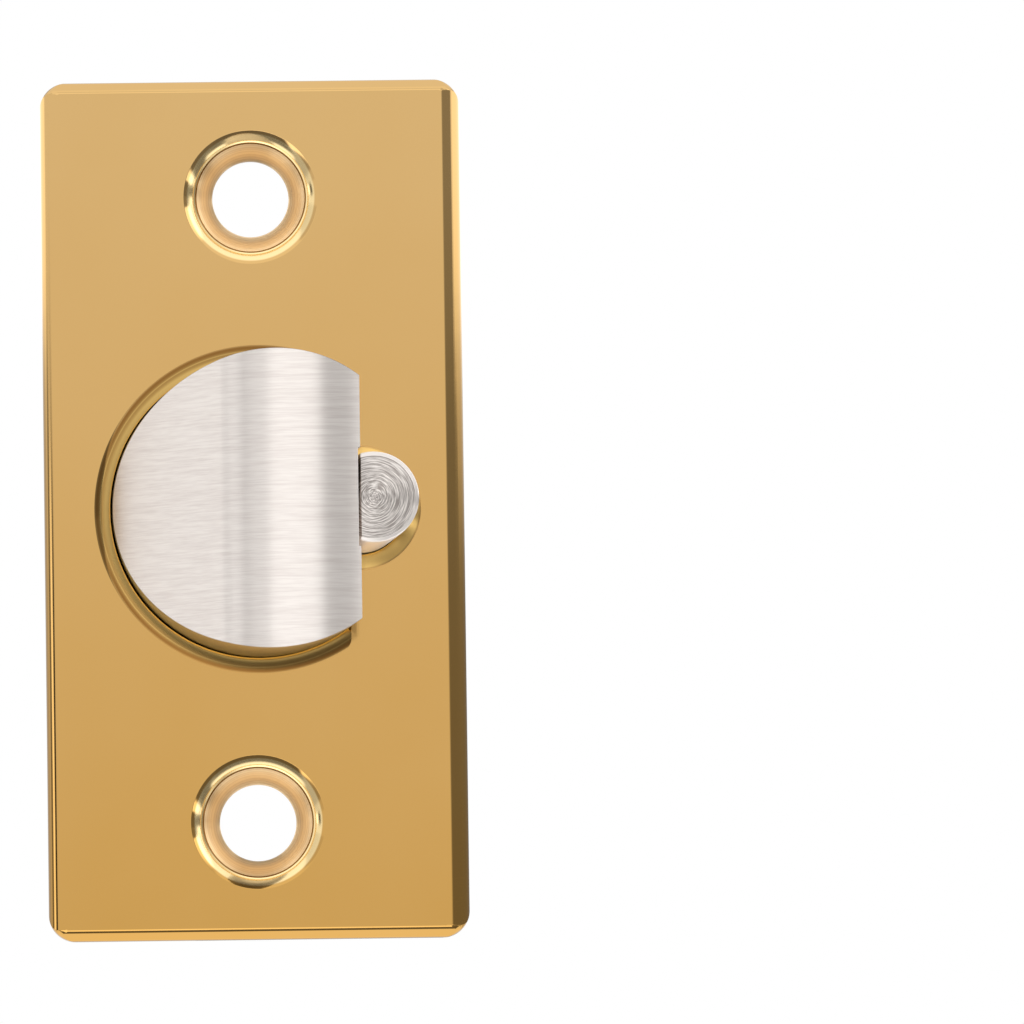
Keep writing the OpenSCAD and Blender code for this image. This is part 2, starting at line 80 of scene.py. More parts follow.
# Turns that lay a rod's axis along X or Y.
ALONG_X = (0, math.pi / 2, 0)
ALONG_Y = (math.pi / 2, 0, 0)


# Modelling steps.

def deselect():
    bpy.ops.object.select_all(action="DESELECT")


def select_only(piece):
    deselect()
    piece.select_set(True)
    bpy.context.view_layer.objects.active = piece


def name_and_settle(name):
    """Names the new primitive and makes its place and size part of its mesh."""
    piece = bpy.context.object
    piece.name = name
    bpy.ops.object.transform_apply(location=True, rotation=True, scale=True)
    return piece


def add_block(name, low, high):
    deselect()
    bpy.ops.mesh.primitive_cube_add(size=1, location=[(a + b) / 2 * MM for a, b in zip(low, high)])
    bpy.context.object.scale = [(b - a) * MM for a, b in zip(low, high)]
    return name_and_settle(name)


def add_rod(name, centre, radius, length, turn=(0, 0, 0), sides=96):
    """A cylinder about its middle point; its axis is Z before the turn."""
    deselect()
    bpy.ops.mesh.primitive_cylinder_add(vertices=sides, radius=radius * MM, depth=length * MM,
                                        location=[c * MM for c in centre], rotation=turn)
    return name_and_settle(name)


def draw_line(name, x, y, z, points):
    """Draws a chain of edges from (x, y, z) that runs as the points do in X and Y. Leaves edit mode on."""
    deselect()
    bpy.ops.mesh.primitive_plane_add(size=MM, location=(x * MM, y * MM, z * MM))
    piece = name_and_settle(name)
    bpy.ops.object.mode_set(mode="EDIT")
    bpy.ops.mesh.select_mode(type="VERT")
    bpy.ops.mesh.select_all(action="SELECT")
    bpy.ops.mesh.merge(type="CENTER")
    for (x0, y0), (x1, y1) in zip(points, points[1:]):
        bpy.ops.mesh.extrude_vertices_move(
            TRANSFORM_OT_translate={"value": ((x1 - x0) * MM, (y1 - y0) * MM, 0)})
    bpy.ops.mesh.select_all(action="SELECT")
    return piece


def add_turned(name, centre, profile, steps=192):
    """Draws half a profile of (radius, depth) and spins it about an axis along Y."""
    x, y, z = centre
    piece = draw_line(name, x + profile[0][0], y + profile[0][1], z, profile)
    bpy.ops.mesh.spin(steps=steps, angle=2 * math.pi, center=(x * MM, y * MM, z * MM), axis=(0, 1, 0))
    bpy.ops.mesh.select_all(action="SELECT")
    bpy.ops.mesh.remove_doubles(threshold=0.0005 * MM)
    bpy.ops.mesh.normals_make_consistent(inside=False)
    bpy.ops.object.mode_set(mode="OBJECT")
    return piece


def add_prism(name, outline, low, high):
    """Draws an outline in X and Y, fills it and extrudes it up Z."""
    piece = draw_line(name, outline[0][0], outline[0][1], low, outline)
    bpy.ops.mesh.edge_face_add()
    bpy.ops.mesh.extrude_region_move(TRANSFORM_OT_translate={"value": (0, 0, (high - low) * MM)})
    bpy.ops.mesh.select_all(action="SELECT")
    bpy.ops.mesh.normals_make_consistent(inside=False)
    bpy.ops.object.mode_set(mode="OBJECT")
    return piece


def round_edges(piece, test, radius, segments):
    """Rounds the edges whose two ends, in millimetres, pass the test."""
    select_only(piece)
    bpy.ops.object.mode_set(mode="EDIT")
    bpy.ops.mesh.select_mode(type="EDGE")
    bpy.ops.mesh.select_all(action="DESELECT")
    mesh = bmesh.from_edit_mesh(piece.data)
    for edge in mesh.edges:
        a, b = (v.co / MM for v in edge.verts)
        edge.select_set(test(a, b))
    bmesh.update_edit_mesh(piece.data)
    bpy.ops.mesh.bevel(offset=radius * MM, segments=segments, profile=0.5, affect="EDGES")
    bpy.ops.object.mode_set(mode="OBJECT")


def slice_off(piece, point, normal):
    """Cuts away what lies on the normal's side of a plane and closes the cut."""
    select_only(piece)
    bpy.ops.object.mode_set(mode="EDIT")
    bpy.ops.mesh.select_all(action="SELECT")
    bpy.ops.mesh.bisect(plane_co=[p * MM for p in point], plane_no=normal, use_fill=True,
                        clear_outer=True, threshold=0.0001 * MM)
    bpy.ops.object.mode_set(mode="OBJECT")


def combine(piece, tool, operation):
    """Joins, cuts or intersects a piece with a tool, and removes the tool."""
    select_only(piece)
    modifier = piece.modifiers.new("combine", "BOOLEAN")
    modifier.operation = operation
    modifier.object = tool
    modifier.solver = "EXACT"
    bpy.ops.object.modifier_apply(modifier=modifier.name)
    bpy.data.objects.remove(tool)


def chamfer_all(piece, width, angle):
    """Breaks every edge that is sharper than an angle."""
    select_only(piece)
    modifier = piece.modifiers.new("chamfer", "BEVEL")
    modifier.width = width * MM
    modifier.segments = 1
    modifier.limit_method = "ANGLE"
    modifier.angle_limit = math.radians(angle)
    bpy.ops.object.modifier_apply(modifier=modifier.name)


def smooth(piece, angle):
    """Smooth shading up to an angle, with flat faces kept flat."""
    select_only(piece)
    bpy.ops.object.shade_smooth_by_angle(angle=math.radians(angle))
    modifier = piece.modifiers.new("flat faces", "WEIGHTED_NORMAL")
    modifier.keep_sharp = True
    bpy.ops.object.modifier_apply(modifier=modifier.name)


def into_barrel(piece):
    """Turns a piece that was modelled on the barrel's axis into its place behind the faceplate."""
    piece.matrix_world = BARREL
    select_only(piece)
    bpy.ops.object.transform_apply(location=True, rotation=True, scale=True)


def rolled_edge(inner, width, depth, count=24, lift=0.0006):
    """Points of an edge that rolls down from the face (radius inner + width) to its depth at inner."""
    middle, half = math.atan2(depth, width), math.hypot(width, depth) / 2
    start = math.radians(9)
    arc = half / math.sin(middle - start)
    angles = [start + 2 * (middle - start) * i / count for i in range(count + 1)]
    return [(inner + width - arc * (math.sin(a) - math.sin(start)),
             arc * (math.cos(start) - math.cos(a)) - lift) for a in angles]


# Materials.

def linear(hex_colour):
    """Turns an sRGB hex colour into the linear colour that a shader takes."""
    channels = [int(hex_colour[i:i + 2], 16) / 255 for i in (1, 3, 5)]
    return tuple(c / 12.92 if c <= 0.04045 else ((c + 0.055) / 1.055) ** 2.4 for c in channels) + (1.0,)


def add(tree, kind, inputs=None, out=0, stops=None, **settings):
    """Adds a node and gives one of its outputs. An input takes a value, or a link from an output."""
    node = tree.nodes.new(kind)
    for name, value in settings.items():
        setattr(node, name, value)
    if stops:
        ramp = node.color_ramp
        while len(ramp.elements) < len(stops):
            ramp.elements.new(1.0)
        for element, (place, level) in zip(ramp.elements, stops):
            element.position = place
            element.color = (level, level, level, 1.0)
    for name, value in (inputs or {}).items():
        if isinstance(value, bpy.types.NodeSocket):
            tree.links.new(value, node.inputs[name])
        else:
            node.inputs[name].default_value = value
    return node.outputs[out] if node.outputs else None


def new_material(name):
    """An empty node material with its tree and the object's own coordinates."""
    material = bpy.data.materials.new(name)
    material.use_nodes = True
    tree = material.node_tree
    tree.nodes.clear()
    return material, tree, add(tree, "ShaderNodeTexCoord", out="Object")


def surface(material, inputs):
    """Ends a material with its shader. What is the same all over stands on the shader's own sockets."""
    shader = add(material.node_tree, "ShaderNodeBsdfPrincipled", inputs)
    add(material.node_tree, "ShaderNodeOutputMaterial", {"Surface": shader})
    return material


def lacquered_brass(tone, cone_tone):
    """Rolled brass sheet, polished and lacquered.

    The eye sees a warm mirror with faint polishing lines, paler and duller cones turned round the screw
    holes, and a drawn rim. Painted into the colour: shade towards the lower end and in the corner round each
    cone, and shade and highlights on the rim, which is dark outside and bright towards the bolt and in the
    bay.
    """
    material, tree, place = new_material("lacquered_brass")
    x, y, z = add(tree, "ShaderNodeSeparateXYZ", {"Vector": place}).node.outputs
    # The cones and the roll round them, by the distance from the nearer screw hole's axis.
    up = add(tree, "ShaderNodeMath", {0: z}, operation="ABSOLUTE")
    up = add(tree, "ShaderNodeMath", {0: up, 1: SCREW_Z * MM}, operation="SUBTRACT")
    from_screw = add(tree, "ShaderNodeCombineXYZ", {"X": x, "Y": up})
    radius = add(tree, "ShaderNodeVectorMath", {0: from_screw}, out="Value", operation="LENGTH")
    in_cone = add(tree, "ShaderNodeMapRange", {"Value": radius, "From Min": CONE_R * MM,
                                               "From Max": (CONE_R + 0.04) * MM,
                                               "To Min": 1.0, "To Max": 0.0})
    in_roll = add(tree, "ShaderNodeMapRange", {"Value": radius, "From Min": 4.2 * MM, "From Max": 4.3 * MM,
                                               "To Min": 1.0, "To Max": 0.0})
    # Uneven turning rings, seven in a millimetre.
    along = add(tree, "ShaderNodeCombineXYZ", {"X": radius, "Y": y})
    rings = add(tree, "ShaderNodeTexNoise", {"Vector": along, "Scale": 7 / MM, "Detail": 3.0})
    rings = add(tree, "ShaderNodeMath", {0: rings, 1: in_cone}, operation="MULTIPLY")
    # Polishing lines run up the plate, nine in a millimetre.
    stretched = add(tree, "ShaderNodeMapping", {"Vector": place, "Scale": (9 / MM, 9 / MM, 0.3 / MM)})
    lines = add(tree, "ShaderNodeTexNoise", {"Vector": stretched, "Scale": 1.0, "Detail": 3.0})
    # The sheet's own soft waves, 4 mm across, and the lacquer's amber clouds, 13 mm across.
    waves = add(tree, "ShaderNodeTexNoise", {"Vector": place, "Scale": 0.24 / MM, "Detail": 2.0})
    clouds = add(tree, "ShaderNodeTexNoise", {"Vector": place, "Scale": 0.075 / MM, "Detail": 3.0})
    height = add(tree, "ShaderNodeMath", {0: rings, 1: 25.0, 2: lines}, operation="MULTIPLY_ADD")
    height = add(tree, "ShaderNodeMath", {0: waves, 1: 5.0, 2: height}, operation="MULTIPLY_ADD")
    bump = add(tree, "ShaderNodeBump", {"Height": height, "Strength": 0.3, "Distance": 0.0012 * MM})
    # Painted shade: the face turns darker and warmer towards the lower end, standing in for the dimmer light
    # it mirrors there. The lacquer's amber clouds lie over it.
    depth = add(tree, "ShaderNodeMapRange", {"Value": z, "From Min": 30 * MM, "From Max": -30 * MM,
                                             "To Min": -0.2, "To Max": 0.8})
    depth = add(tree, "ShaderNodeMath", {0: clouds, 1: 0.35, 2: depth}, operation="MULTIPLY_ADD")
    shade = add(tree, "ShaderNodeMix", {"Factor": depth, "A": tone, "B": linear("#cb9c50")}, "Result",
                data_type="RGBA")
    # Painted shade and highlight on the drawn rim: by depth it is painted dark outside, with one bright line,
    # and bright towards the bolt. The plunger's bay is painted bright all over, as a highlight.
    from_bolt = add(tree, "ShaderNodeCombineXYZ", {"X": x, "Y": z})
    from_bolt = add(tree, "ShaderNodeVectorMath", {0: from_bolt, 1: (AXIS_X * MM, 0.0, 0.0)}, out="Value",
                    operation="DISTANCE")
    near_bolt = add(tree, "ShaderNodeMath", {0: from_bolt, 1: 12 * MM}, operation="LESS_THAN")
    in_rim = add(tree, "ShaderNodeMapRange", {"Value": y, "From Min": 0.005 * MM, "From Max": 0.03 * MM,
                                              "To Max": near_bolt})
    drawn = add(tree, "ShaderNodeMapRange", {"Value": y, "From Max": 0.45 * MM})
    drawn = add(tree, "ShaderNodeValToRGB", {"Fac": drawn},
                stops=((0.0, 0.0), (0.13, 0.1), (0.2, 0.3), (0.25, 0.8), (0.3, 0.4), (0.4, 0.5), (0.6, 1.0),
                       (1.0, 1.0)))
    # Painted highlight: the bay's rim takes the bright tone all over.
    in_bay = add(tree, "ShaderNodeMath", {0: x, 1: 6.4 * MM}, operation="GREATER_THAN")
    drawn = add(tree, "ShaderNodeMath", {0: drawn, 1: in_bay}, operation="MAXIMUM")
    rim = add(tree, "ShaderNodeMix", {"Factor": drawn, "A": linear("#9c6e32"), "B": linear("#ffda86")},
              "Result", data_type="RGBA")
    shade = add(tree, "ShaderNodeMix", {"Factor": in_rim, "A": shade, "B": rim}, "Result", data_type="RGBA")
    shade = add(tree, "ShaderNodeMix", {"Factor": in_roll, "A": shade, "B": cone_tone}, "Result",
                data_type="RGBA")
    # Lacquer lies darker in the turning rings. The corner round the cone is painted dark, as painted shade.
    grooves = add(tree, "ShaderNodeMapRange", {"Value": rings, "From Min": 0.45, "From Max": 0.7,
                                               "To Max": 0.5})
    turned = add(tree, "ShaderNodeMix", {"Factor": grooves, "A": linear("#ffdfae"), "B": linear("#cfa062")},
                 "Result", data_type="RGBA")
    shade = add(tree, "ShaderNodeMix", {"Factor": in_cone, "A": shade, "B": turned}, "Result",
                data_type="RGBA")
    # Painted shade: a thin dark ring in the corner between the cone and its step.
    corner = add(tree, "ShaderNodeMath", {0: radius, 1: (CONE_R + 0.03) * MM, 2: 0.05 * MM},
                 operation="COMPARE")
    shade = add(tree, "ShaderNodeMix", {"Factor": corner, "A": shade, "B": linear("#92682f")}, "Result",
                data_type="RGBA")
    dull = add(tree, "ShaderNodeMath", {0: in_roll, 1: 0.08, 2: 0.07}, operation="MULTIPLY_ADD")
    dull = add(tree, "ShaderNodeMath", {0: in_cone, 1: 0.2, 2: dull}, operation="MULTIPLY_ADD")
    return surface(material, {"Base Color": shade, "Metallic": 1.0, "Roughness": dull, "Normal": bump,
                              "Coat Weight": 0.2, "Coat Roughness": 0.04})


def brushed_stainless(tone):
    """Solid stainless bar, belt ground across the nose.

    The eye sees crisp bright and grey bands up the bolt, with short fine lines across them.
    """
    material, tree, place = new_material("brushed_stainless")
    # Belt lines, fourteen in a millimetre and about 1.5 mm long, with broader bands among them.
    fine = add(tree, "ShaderNodeMapping", {"Vector": place, "Scale": (0.7 / MM, 0.7 / MM, 14 / MM)})
    lines = add(tree, "ShaderNodeTexNoise", {"Vector": fine, "Scale": 1.0, "Detail": 4.0})
    broad = add(tree, "ShaderNodeMapping", {"Vector": place, "Scale": (0.2 / MM, 0.2 / MM, 6 / MM)})
    bands = add(tree, "ShaderNodeTexNoise", {"Vector": broad, "Scale": 1.0, "Detail": 2.0})
    grain = add(tree, "ShaderNodeMath", {0: lines, 1: bands}, operation="ADD")
    contrast = add(tree, "ShaderNodeMapRange", {"Value": grain, "From Min": 0.7, "From Max": 1.2})
    shade = add(tree, "ShaderNodeMix", {"Factor": contrast, "A": linear("#ece3dd"), "B": tone}, "Result",
                data_type="RGBA")
    bump = add(tree, "ShaderNodeBump", {"Height": lines, "Strength": 0.25, "Distance": 0.002 * MM})
    # The bar's drawn wall is painted a little darker, as painted shade in the narrow gap where it shows, and
    # is smoother.
    local = add(tree, "ShaderNodeVectorMath", {0: place, 1: (AXIS_X * MM, PIVOT_Y * MM, 0.0)},
                operation="SUBTRACT")
    off_axis = add(tree, "ShaderNodeVectorMath", {0: local, 1: INTO_CASE}, operation="CROSS_PRODUCT")
    radius = add(tree, "ShaderNodeVectorMath", {0: off_axis}, out="Value", operation="LENGTH")
    wall = add(tree, "ShaderNodeMapRange", {"Value": radius, "From Min": 9.81 * MM, "From Max": 9.84 * MM})
    shade = add(tree, "ShaderNodeMix", {"Factor": wall, "A": shade, "B": linear("#c9c2bb")}, "Result",
                data_type="RGBA")
    rough = add(tree, "ShaderNodeMath", {0: wall, 1: -0.1, 2: 0.42}, operation="MULTIPLY_ADD")
    # Light smears across the lines, so the rough direction is Z.
    across = add(tree, "ShaderNodeCombineXYZ", {"Z": 1.0})
    return surface(material, {"Base Color": shade, "Metallic": 1.0, "Roughness": rough, "Normal": bump,
                              "Anisotropic": 0.94, "Tangent": across})


def turned_stainless(tone):
    """Stainless rod faced off on a lathe.

    The eye sees fine rings round its axis inside a burnished land, and light that fans out across them.
    """
    material, tree, place = new_material("turned_stainless")
    centre = BARREL @ Vector((PLUNGER_X * MM, -PLUNGER_OUT * MM, 0))
    local = add(tree, "ShaderNodeVectorMath", {0: place, 1: centre}, operation="SUBTRACT")
    off_axis = add(tree, "ShaderNodeVectorMath", {0: local, 1: INTO_CASE}, operation="CROSS_PRODUCT")
    radius = add(tree, "ShaderNodeVectorMath", {0: off_axis}, out="Value", operation="LENGTH")
    # Rings, thirteen in a millimetre, that the tool's chatter shifts and breaks up along their turn.
    chatter = add(tree, "ShaderNodeTexNoise", {"Vector": place, "Scale": 1.5 / MM, "Detail": 4.0})
    along = add(tree, "ShaderNodeMath", {0: chatter, 1: 0.1 * MM, 2: radius}, operation="MULTIPLY_ADD")
    x, _, z = add(tree, "ShaderNodeSeparateXYZ", {"Vector": local}).node.outputs
    turn = add(tree, "ShaderNodeMath", {0: z, 1: x}, operation="ARCTAN2")
    turn = add(tree, "ShaderNodeMath", {0: turn, 1: 0.12 * MM}, operation="MULTIPLY")
    along = add(tree, "ShaderNodeCombineXYZ", {"X": along, "Y": turn})
    rings = add(tree, "ShaderNodeTexNoise", {"Vector": along, "Scale": 13 / MM, "Detail": 3.0})
    inside_land = add(tree, "ShaderNodeMapRange", {"Value": radius, "From Min": PLUNGER_LAND_R * MM,
                                                   "From Max": (PLUNGER_LAND_R + 0.04) * MM,
                                                   "To Min": 1.0, "To Max": 0.0})
    rings = add(tree, "ShaderNodeMath", {0: rings, 1: inside_land}, operation="MULTIPLY")
    bump = add(tree, "ShaderNodeBump", {"Height": rings, "Strength": 0.4, "Distance": 0.005 * MM})
    mottle = add(tree, "ShaderNodeMapRange", {"Value": rings, "From Min": 0.38, "From Max": 0.6,
                                              "To Min": 1.0, "To Max": 0.0})
    shade = add(tree, "ShaderNodeMix", {"Factor": mottle, "A": linear("#a79e98"), "B": tone}, "Result",
                data_type="RGBA")
    return surface(material, {"Base Color": shade, "Metallic": 1.0, "Roughness": 0.32, "Normal": bump,
                              "Anisotropic": 0.92, "Tangent": local})


def zinc_plate(tone):
    """Stamped mild steel with bright zinc plate: cool grey, cloudy, with soft rolling lines."""
    material, tree, place = new_material("bright_zinc_plate")
    clouds = add(tree, "ShaderNodeTexNoise", {"Vector": place, "Scale": 0.32 / MM, "Detail": 5.0})
    stretched = add(tree, "ShaderNodeMapping", {"Vector": place, "Scale": (4 / MM, 0.5 / MM, 4 / MM)})
    lines = add(tree, "ShaderNodeTexNoise", {"Vector": stretched, "Scale": 1.0, "Detail": 2.0})
    shade = add(tree, "ShaderNodeMix", {"Factor": clouds, "A": linear("#8b9096"), "B": tone}, "Result",
                data_type="RGBA")
    rough = add(tree, "ShaderNodeMapRange", {"Value": clouds, "To Min": 0.26, "To Max": 0.42})
    bump = add(tree, "ShaderNodeBump", {"Height": lines, "Strength": 0.3, "Distance": 0.004 * MM})
    return surface(material, {"Base Color": shade, "Metallic": 1.0, "Roughness": rough, "Normal": bump})


def die_cast_zinc(tone):
    """Zinc die casting, tumbled: dull grey with the fine pebble of the die."""
    material, tree, place = new_material("die_cast_zinc")
    pebble = add(tree, "ShaderNodeTexNoise", {"Vector": place, "Scale": 2.6 / MM, "Detail": 4.0})
    clouds = add(tree, "ShaderNodeTexNoise", {"Vector": place, "Scale": 0.24 / MM, "Detail": 3.0})
    shade = add(tree, "ShaderNodeMix", {"Factor": clouds, "A": linear("#85888b"), "B": tone}, "Result",
                data_type="RGBA")
    bump = add(tree, "ShaderNodeBump", {"Height": pebble, "Strength": 0.5, "Distance": 0.012 * MM})
    return surface(material, {"Base Color": shade, "Metallic": 1.0, "Roughness": 0.45, "Normal": bump})


def spring_steel(tone):
    """Drawn and oiled spring wire and turned pins: dark bright grey with a fine grain."""
    material, tree, place = new_material("oiled_spring_steel")
    grain = add(tree, "ShaderNodeTexNoise", {"Vector": place, "Scale": 1.8 / MM, "Detail": 3.0})
    shade = add(tree, "ShaderNodeMix", {"Factor": grain, "A": linear("#6f7174"), "B": tone}, "Result",
                data_type="RGBA")
    bump = add(tree, "ShaderNodeBump", {"Height": grain, "Strength": 0.2, "Distance": 0.003 * MM})
    return surface(material, {"Base Color": shade, "Metallic": 1.0, "Roughness": 0.27, "Normal": bump})


def hardened_steel(tone):
    """Case hardened stamping: dark brown-grey scale with worn bright spots."""
    material, tree, place = new_material("case_hardened_steel")
    scale = add(tree, "ShaderNodeTexNoise", {"Vector": place, "Scale": 0.9 / MM, "Detail": 5.0})
    shade = add(tree, "ShaderNodeMix", {"Factor": scale, "A": linear("#4a4643"), "B": tone}, "Result",
                data_type="RGBA")
    rough = add(tree, "ShaderNodeMapRange", {"Value": scale, "To Min": 0.35, "To Max": 0.55})
    return surface(material, {"Base Color": shade, "Metallic": 1.0, "Roughness": rough})


def dress(piece, material):
    """Gives a whole piece one material."""
    if not piece.material_slots:
        piece.data.materials.append(material)
    for slot in piece.material_slots:
        slot.material = material


class LatchColours(bpy.types.PropertyGroup):
    """Colours of the finishes"""

    brass: bpy.props.FloatVectorProperty(
        name="Brass", description="Tone of the lacquered brass face",
        subtype="COLOR", size=4, min=0.0, max=1.0, default=linear("#d8b173"))
    cone: bpy.props.FloatVectorProperty(
        name="Countersinks", description="Tone of the rolled brass round the countersinks",
        subtype="COLOR", size=4, min=0.0, max=1.0, default=linear("#fbdfa4"))
    stainless: bpy.props.FloatVectorProperty(
        name="Stainless", description="Tone of the bolt and the plunger",
        subtype="COLOR", size=4, min=0.0, max=1.0, default=linear("#fbf4ee"))
    zinc: bpy.props.FloatVectorProperty(
        name="Zinc plate", description="Tone of the zinc plated steel",
        subtype="COLOR", size=4, min=0.0, max=1.0, default=linear("#b3b8bd"))
    casting: bpy.props.FloatVectorProperty(
        name="Casting", description="Tone of the zinc castings",
        subtype="COLOR", size=4, min=0.0, max=1.0, default=linear("#a9acae"))
    spring: bpy.props.FloatVectorProperty(
        name="Spring steel", description="Tone of the spring wire and pins",
        subtype="COLOR", size=4, min=0.0, max=1.0, default=linear("#a3a5a8"))
    hardened: bpy.props.FloatVectorProperty(
        name="Hardened steel", description="Tone of the hardened lever",
        subtype="COLOR", size=4, min=0.0, max=1.0, default=linear("#77716c"))


class LatchSizes(bpy.types.PropertyGroup):
    """Sizes of the smooth pieces"""

    long_edge: bpy.props.FloatProperty(
        name="Long edge", description="Rounding of the plate's long edges",
        default=1.25 * MM, min=0.1 * MM, max=1.5 * MM, precision=5, unit="LENGTH")
    short_edge: bpy.props.FloatProperty(
        name="Short edge", description="Bevel of the plate's short edges",
        default=0.62 * MM, min=0.2 * MM, max=1.2 * MM, precision=5, unit="LENGTH")
    corner: bpy.props.FloatProperty(
        name="Corner", description="Radius of the plate's four corners",
        default=1.8 * MM, min=0.8 * MM, max=3.0 * MM, precision=5, unit="LENGTH")
    opening: bpy.props.FloatProperty(
        name="Opening", description="Radius of the opening round the bolt",
        default=9.91 * MM, min=9.86 * MM, max=10.2 * MM, precision=5, unit="LENGTH")
    rim: bpy.props.FloatProperty(
        name="Rim", description="Width of the opening's rolled rim",
        default=1.07 * MM, min=0.8 * MM, max=1.3 * MM, precision=5, unit="LENGTH")
    bolt: bpy.props.FloatProperty(
        name="Bolt", description="Radius of the bolt",
        default=9.85 * MM, min=9.5 * MM, max=9.9 * MM, precision=5, unit="LENGTH")


class LATCH_OT_faceplate(bpy.types.Operator):
    """Model the brass faceplate with its rolled edges, countersinks and opening"""

    bl_idname = "latch.faceplate"
    bl_label = "Faceplate"

    def execute(self, context):
        sizes = context.scene.latch_sizes
        plate = self.add_sheet(sizes)
        opening, rim = sizes.opening / MM, sizes.rim / MM
        for side in (-1, 1):
            combine(plate, self.add_dimple(side), "UNION")
        combine(plate, self.add_collar(opening), "UNION")
        for side in (-1, 1):
            combine(plate, self.add_screw_cutter(side), "DIFFERENCE")
        for cutter in self.add_opening_cutters(opening, rim):
            combine(plate, cutter, "DIFFERENCE")
        smooth(plate, 28)
        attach(plate, "housing")
        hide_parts("faceplate")
        return {"FINISHED"}

    def add_sheet(self, sizes):
        """The sheet with rounded corners, its front edge rolled, and its long and short edges broken."""
        w, h = PLATE_HIGH.x / MM, PLATE_HIGH.z / MM
        front_roll, fold = 0.7, 0.16
        plate = add_block("brass_face", (-w, 0, -h), (w, PLATE_T, h))
        round_edges(plate, lambda a, b: abs(a.y - b.y) > 1, sizes.corner / MM, 16)
        round_edges(plate, lambda a, b: a.y < 0.01 and b.y < 0.01, front_roll, 12)
        long_sides = add_block("long_sides", (-w, 0, -h - 1), (w, PLATE_T + 1, h + 1))
        round_edges(long_sides, lambda a, b: abs(a.z - b.z) > 1 and a.y < 0.1, sizes.long_edge / MM, 28)
        combine(plate, long_sides, "INTERSECT")
        short_sides = add_block("short_sides", (-w - 1, 0, -h), (w + 1, PLATE_T + 1, h))
        round_edges(short_sides, lambda a, b: abs(a.x - b.x) > 1 and a.y < 0.1, sizes.short_edge / MM, 1)
        round_edges(short_sides, lambda a, b: abs(a.x - b.x) > 1 and a.y < 1 and b.y < 1, fold, 6)
        combine(plate, short_sides, "INTERSECT")
        return plate

    def add_dimple(self, side):
        """The back of a screw hole's dimple."""
        radius, thickness, sunk = 4.37, 0.9, 0.1
        middle = PLATE_T + thickness / 2 - sunk
        return add_rod("dimple", (0, middle, side * SCREW_Z), radius, thickness, ALONG_Y, 160)

    def add_collar(self, opening):
        """The drawn collar behind the opening: a D with the plunger's bay."""
        wall, bay_r, flat = 0.7, 3.25, 6.0
        front, back = PLATE_T - 0.1, 3.2
        middle, length = (front + back) / 2, back - front
        collar = add_rod("collar", (AXIS_X, middle, 0), opening + wall, length, ALONG_Y, 192)
        slice_off(collar, (AXIS_X + flat, 0, 0), (1, 0, 0))
        bay = add_rod("bay", (AXIS_X + PLUNGER_X, middle, 0), bay_r + wall, length, ALONG_Y, 128)
        combine(collar, bay, "UNION")
        return collar

    def add_screw_cutter(self, side):
        """A roll that steepens, a small step and a cone of 82 degrees down to the screw's hole."""
        mouth, roll_end, hole, steps = 4.48, 3.8, 2.55, 22
        front, back, lift = -1, 4, 0.0006
        profile = [(0, front), (mouth, front), (mouth, -lift)]
        for i in range(steps):
            slope = math.radians(26 + 21 * (i / (steps - 1)) ** 1.7)
            step = (mouth - roll_end) / steps
            profile.append((profile[-1][0] - step, profile[-1][1] + step * math.tan(slope)))
        low = profile[-1][1]
        profile += [(CONE_R + 0.08, low + 0.02), (CONE_R + 0.02, low + 0.09), (CONE_R, low + 0.1)]
        depth = low + 0.1 + (CONE_R - hole) / math.tan(math.radians(41))
        profile += [(hole + 0.04, depth - 0.05), (hole, depth + 0.02), (hole, back), (0, back)]
        return add_turned("screw", (0, 0, side * SCREW_Z), profile)

    def add_opening_cutters(self, opening, rim):
        """The rolled D opening, with the ends of its rim rounded, and the plunger's rolled bay."""
        front, back, flat = -1, 5, 6.05
        profile = [(0, front), (opening + rim, front)]
        profile += rolled_edge(opening, rim, 0.5) + [(opening, back), (0, back)]
        main = add_turned("main", (AXIS_X, 0, 0), profile, 256)
        slice_off(main, (AXIS_X + flat, 0, 0), (1, 0, 0))
        end_x, end_z, end_r = 5.35, 8.65, 1
        for side in (-1, 1):
            for turn in (12, 28, 44, 58):
                out, up = math.cos(math.radians(turn)), math.sin(math.radians(turn)) * side
                slice_off(main, (end_x + end_r * out, 0, side * end_z + end_r * up), (out, 0, up))
        bay, bay_rim = 3.12, 1.03
        profile = [(0, front), (bay + bay_rim, front)]
        profile += rolled_edge(bay, bay_rim, 0.45) + [(bay, back), (0, back)]
        return main, add_turned("bay", (AXIS_X + PLUNGER_X, 0, 0), profile, 160)


